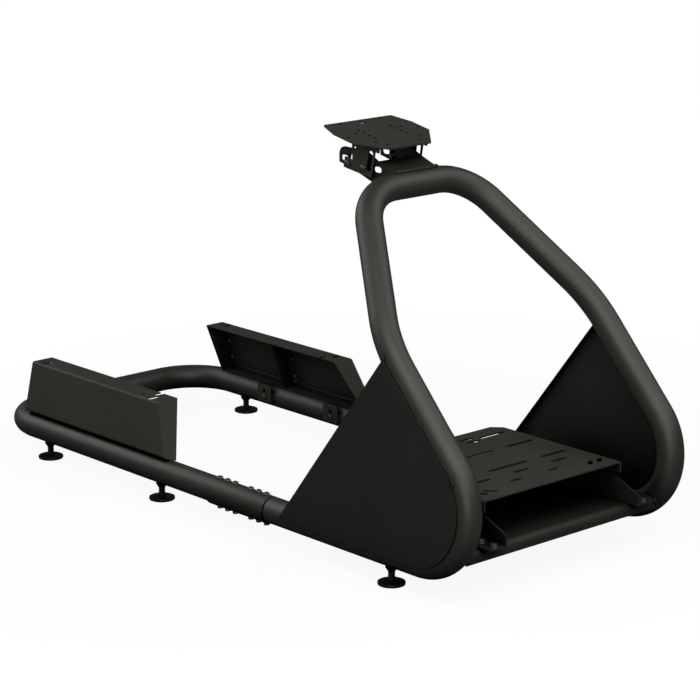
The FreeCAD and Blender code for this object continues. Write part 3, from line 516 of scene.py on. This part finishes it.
def make_saddles():
    """The sheet bent round the underside of each telescopic joint, its rear corners cut at a slant."""
    for side, word in SIDES:
        low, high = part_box(f"clamp_saddle_{word}")
        axis = Vector((side * RAIL_X, low.y, RAIL_Z))
        bm = bmesh.new()
        ends = [bm.verts.new(axis - UP * radius) for radius in (SADDLE_IN, SADDLE_OUT)]
        bmesh.ops.rotate(bm, cent=axis, matrix=Matrix.Rotation(-SADDLE_WRAP, 3, "Y"), verts=ends)
        edge = bm.edges.new(ends)
        bmesh.ops.spin(
            bm, geom=[*ends, edge], cent=axis, axis=AHEAD, angle=2 * SADDLE_WRAP, steps=SADDLE_STEPS,
        )
        long = bmesh.ops.extrude_face_region(bm, geom=list(bm.faces))["geom"]
        bmesh.ops.translate(bm, vec=AHEAD * (high.y - low.y), verts=only(BMVert, long))
        cut = bmesh.ops.bisect_plane(
            bm, geom=[*bm.verts, *bm.edges, *bm.faces], plane_co=axis + AHEAD * SADDLE_SLANT.y,
            plane_no=SADDLE_SLANT.cross((-1, 0, 0)), clear_outer=True,
        )["geom_cut"]
        bmesh.ops.edgeloop_fill(bm, edges=only(BMEdge, cut))
        bmesh.ops.recalc_face_normals(bm, faces=bm.faces)
        broken(bm, EDGE_ROUND)
        finished(
            f"saddle_{word}", bm, "sheet_steel", "seat_frame", f"clamp_saddle_{word}", finish=SHADED_SHEET_COAT,
            weighted=True,
        )


# Fasteners

def make_joint_screws():
    """Domed screws through the top of each telescopic joint, and their nuts under the saddle."""
    seam, top_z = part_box("seat_frame_tube")[1].yz
    screw_z, nut_z = top_z - 0.5 * MM, RAIL_Z - SADDLE_OUT + 0.3 * MM
    for side, word in SIDES:
        screws, nuts = bmesh.new(), bmesh.new()
        for step in SCREW_STEPS:
            y = seam - FIRST_SCREW - step * SCREW_PITCH
            socket_screw(screws, Vector((side * RAIL_X, y, screw_z)), UP, JOINT_HEAD, JOINT_HEAD_TALL)
            hex_bolt(nuts, Vector((side * RAIL_X, y, nut_z)), -UP, JOINT_NUT)
        finished(f"joint_screws_{word}", screws, "black_fastener", "seat_frame")
        finished(f"joint_nuts_{word}", nuts, "black_fastener", "seat_frame")


def make_tilt_bolts():
    """The pivot and lock bolts: a socket head and washer outside each ear, and the shank to the fork."""
    shank_r, washer, sunk = TILT_SHANK_R, TILT_WASHER, 0.1 * MM
    for side, word in SIDES:
        out = Vector((side, 0, 0))
        for name in ("pivot_bolt", "lock_bolt"):
            low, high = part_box(f"{name}_{word}")
            inner, outer = (low.x, high.x) if side > 0 else (high.x, low.x)
            y, z = ((low + high) / 2).yz
            shank = abs(outer - inner) - TILT_HEAD_TALL
            ear = Vector((outer - side * TILT_HEAD_TALL, y, z))
            bm = bmesh.new()
            turned(bm, [
                (0, 0), (shank_r * 1.55, 0), (shank_r * 1.62, 0.3 * MM), (shank_r * 1.62, washer - 0.3 * MM),
                (shank_r * 1.5, washer), (0, washer),
            ], facing(ear, out))
            on_washer = ear + out * (washer - sunk)
            socket_screw(bm, on_washer, out, TILT_HEAD, TILT_HEAD_TALL - washer - sunk)
            turned(bm, [
                (0, 0), (shank_r - 0.4 * MM, 0), (shank_r, 0.4 * MM), (shank_r, shank), (0, shank),
            ], facing(Vector((inner, y, z)), out))
            finished(f"{name}_head_{word}", bm, "black_fastener", "wheel_deck", f"{name}_{word}")


def make_gusset_bolts():
    """Bolts through each gusset's foot into the tray."""
    for side, word in SIDES:
        foot_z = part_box(f"pedal_gusset_{word}")[0].z + GUSSET_SHEET
        bm = bmesh.new()
        for x, y in GUSSET_BOLTS:
            hex_bolt(bm, Vector((side * x * MM, y * MM, foot_z)), UP, GUSSET_THREAD)
        finished(f"gusset_bolts_{word}", bm, "black_fastener", "front_frame")


def make_seat_screws():
    """A screw through each lug into the tube behind it, and those that hold the ribs in the seat brackets."""
    for side, word in SIDES:
        lug_x = min(abs(corner.x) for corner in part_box(f"seat_lugs_{word}")) + 0.3 * MM
        bm = bmesh.new()
        for y in LUG_PLACES:
            at = Vector((side * lug_x, y * MM, RAIL_Z))
            socket_screw(bm, at, Vector((-side, 0, 0)), SEAT_HEAD, SEAT_HEAD_TALL)
        for y, heights in RIB_SCREWS:
            for z in heights:
                web_x = WEB_TOP_X + (WEB_TOP_Z - z) * WEB_LEAN
                out = Vector((-side, 0, -WEB_LEAN)).normalized()
                socket_screw(bm, Vector((side * web_x, y, z)) * MM, out, SEAT_HEAD, SEAT_HEAD_TALL)
        finished(f"seat_screws_{word}", bm, "black_fastener", "seat_frame")


# Welds

def make_welds():
    """Beads that join the fork, tray and panels to the hoop, and the lugs to the seat frame."""
    fork_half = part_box("wheel_fork")[1].x
    fork = bmesh.new()
    top = BAR_Z + TUBE_R + 1.2 * MM
    bead(fork, [Vector((end, BAR_Y + 3 * MM, top)) for end in (-fork_half, fork_half)], FORK_BEAD)
    reach = TUBE_R + 0.8 * MM
    for side, word in SIDES:
        bead(fork, [
            Vector((side * fork_half, BAR_Y - reach * math.sin(turn), BAR_Z + reach * math.cos(turn)))
            for turn in CHEEK_ARC
        ], CHEEK_BEAD)
        tray = bmesh.new()
        for ends in TRAY_STITCHES:
            bead(tray, [Vector((side * STITCH_X, y * MM, RAIL_Z + STITCH_UP)) for y in ends], STITCH_BEAD)
        bead(tray, [Vector((side * x, y, z)) * MM for x, y, z in LIP_END], LIP_BEAD)
        finished(f"tray_welds_{word}", tray, "sheet_steel", "front_frame", finish=SHADED_SHEET_COAT)
        tacks = bmesh.new()
        panel_x = max(abs(corner.x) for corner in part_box(f"side_panel_{word}")) - 2.2 * MM
        for y, z, slope in PANEL_TACKS:
            half = Vector((0, -math.cos(math.radians(slope)), math.sin(math.radians(slope)))) * TACK_HALF
            middle = Vector((side * panel_x, y * MM, z * MM))
            bead(tacks, [middle - half, middle + half], TACK_BEAD)
        finished(f"panel_tacks_{word}", tacks, "side_panel", "front_frame")
        seat = bmesh.new()
        lug_x = side * (RAIL_X - TUBE_R - 0.2 * MM)
        for place in LUG_PLACES:
            for y in (place - LUG_HALF, place + LUG_HALF):
                bead(seat, [Vector((lug_x, y * MM, z * MM)) for z in LUG_WELD], LUG_BEAD)
        finished(f"seat_welds_{word}", seat, "sheet_steel", "seat_frame")
    finished("fork_welds", fork, "sheet_steel", "front_frame", finish=SHADED_SHEET_COAT)


# Feet

def make_feet():
    """Levelling feet: a rubber pad, a threaded stem with a nut on the pad, and a collar under the tube."""
    for row, body in FOOT_ROWS:
        for _, word in SIDES:
            low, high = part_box(f"foot_pad_{row}_{word}")
            radius, tall = (high.x - low.x) / 2, high.z - low.z
            middle = (low + high) / 2
            pad = bmesh.new()
            profile = [(radius * out, tall * up) for out, up in PAD_PROFILE]
            turned(pad, profile, facing(Vector((middle.x, middle.y, low.z)), UP), PAD_SIDES)
            finished(f"pad_{row}_{word}", pad, "foot_pad", body, f"foot_pad_{row}_{word}")
            low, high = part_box(f"foot_stem_{row}_{word}")
            rim = (high.x - low.x) / 2
            on_pad = facing(Vector((middle.x, middle.y, low.z)), UP)
            stem = bmesh.new()
            thread = [
                (THREAD_R - step % 2 * THREAD_DEPTH, step * HALF_PITCH) for step in range(1, HALF_TURNS + 1)
            ]
            turned(stem, [(0, 0), (THREAD_R, 0), *thread, (0, thread[-1][1])], on_pad)
            collar = [(rim - inward * MM, up * MM) for inward, up in COLLAR_PROFILE]
            collar = [(0, collar[0][1]), *collar, (0, 0)]
            turned(stem, collar, facing(Vector((middle.x, middle.y, high.z)), UP))
            hexagon(stem, FOOT_NUT, FOOT_NUT_TALL, on_pad)
            finished(
                f"stem_{row}_{word}", stem, "black_fastener", body, f"foot_stem_{row}_{word}",
                finish=STEM_METAL,
            )


# Studio

def seen_rays(tree):
    """One for rays that show the background itself, and a small share for those that glance off the coat."""
    rays = add(tree, "LightPath").outputs
    glance = add(tree, "Math", {0: rays["Is Glossy Ray"], 1: GLANCE}, operation="MULTIPLY")
    seen = add(tree, "Math", {0: rays["Is Camera Ray"], 1: rays["Is Transmission Ray"]}, operation="MAXIMUM")
    both = add(tree, "Math", {0: seen.outputs["Value"], 1: glance.outputs["Value"]}, operation="MAXIMUM")
    return both.outputs["Value"]


def make_studio():
    """A white floor that keeps the object's shadow, and a white backdrop."""
    bm = bmesh.new()
    bmesh.ops.create_grid(bm, x_segments=1, y_segments=1, size=FLOOR_HALF)
    mesh = bpy.data.meshes.new("floor")
    bm.to_mesh(mesh)
    bm.free()
    floor = bpy.data.objects.new("floor", mesh)
    scene.collection.objects.link(floor)
    material, tree, coords = blank("white_floor")
    away = add(tree, "VectorMath", {0: coords}, operation="LENGTH")
    white = add(tree, "MapRange", {
        "Value": away.outputs["Value"], "From Min": NEAR, "From Max": AWAY, "To Min": NEAR_WHITE, "To Max": 1,
    })
    level = add(tree, "Math", {0: seen_rays(tree), 1: white.outputs["Result"]}, operation="MULTIPLY")
    glow = add(tree, "Emission", {"Color": linear("#ffffff"), "Strength": level.outputs["Value"]})
    paint = add(tree, "BsdfDiffuse", {"Color": linear(FLOOR_PAINT)})
    both = add(tree, "AddShader", {0: glow.outputs["Emission"], 1: paint.outputs["BSDF"]})
    add(tree, "OutputMaterial", {"Surface": both.outputs["Shader"]})
    mesh.materials.append(material)

    world = bpy.data.worlds.new("studio")
    scene.world = world
    world.use_nodes = True
    tree = world.node_tree
    tree.nodes.clear()
    level = add(tree, "MapRange", {"Value": seen_rays(tree), "To Min": ROOM, "To Max": 1})
    sky = add(tree, "Background", {"Color": linear("#ffffff"), "Strength": level.outputs["Result"]})
    add(tree, "OutputWorld", {"Surface": sky.outputs["Background"]})


def make_lights():
    """Large soft boxes around the object."""
    for name, target, way, far, size, power in LAMPS:
        lamp = bpy.data.lights.new(name, "AREA")
        lamp.size = size
        lamp.energy = power
        lamp.color = LAMP_TINT
        place = bpy.data.objects.new(name, lamp)
        place.location = Vector(target) + far * Vector(way)
        place.rotation_euler = Vector(way).to_track_quat("Z", "Y").to_euler()
        scene.collection.objects.link(place)


def make_camera():
    """The camera that took the photograph."""
    lens = bpy.data.cameras.new("camera")
    lens.sensor_width = SENSOR
    lens.lens = LENS
    camera = bpy.data.objects.new("camera", lens)
    turn = Matrix((CAMERA_RIGHT, CAMERA_UP, CAMERA_BACK)).transposed().to_4x4()
    camera.matrix_world = Matrix.Translation(CAMERA_AT) @ turn
    scene.collection.objects.link(camera)
    scene.camera = camera


slots = {part["node"]: part["material_slot"] for part in frame["record"]["subparts"]}
for node_name, node in frame["nodes"].items():
    node.data.materials.clear()
    node.data.materials.append(FINISHES[slots[node_name]])
make_tubes()
make_sheet_parts()
make_saddles()
make_joint_screws()
make_tilt_bolts()
make_gusset_bolts()
make_seat_screws()
make_welds()
make_feet()
make_studio()
make_lights()
make_camera()
scene.view_settings.view_transform = "Standard"
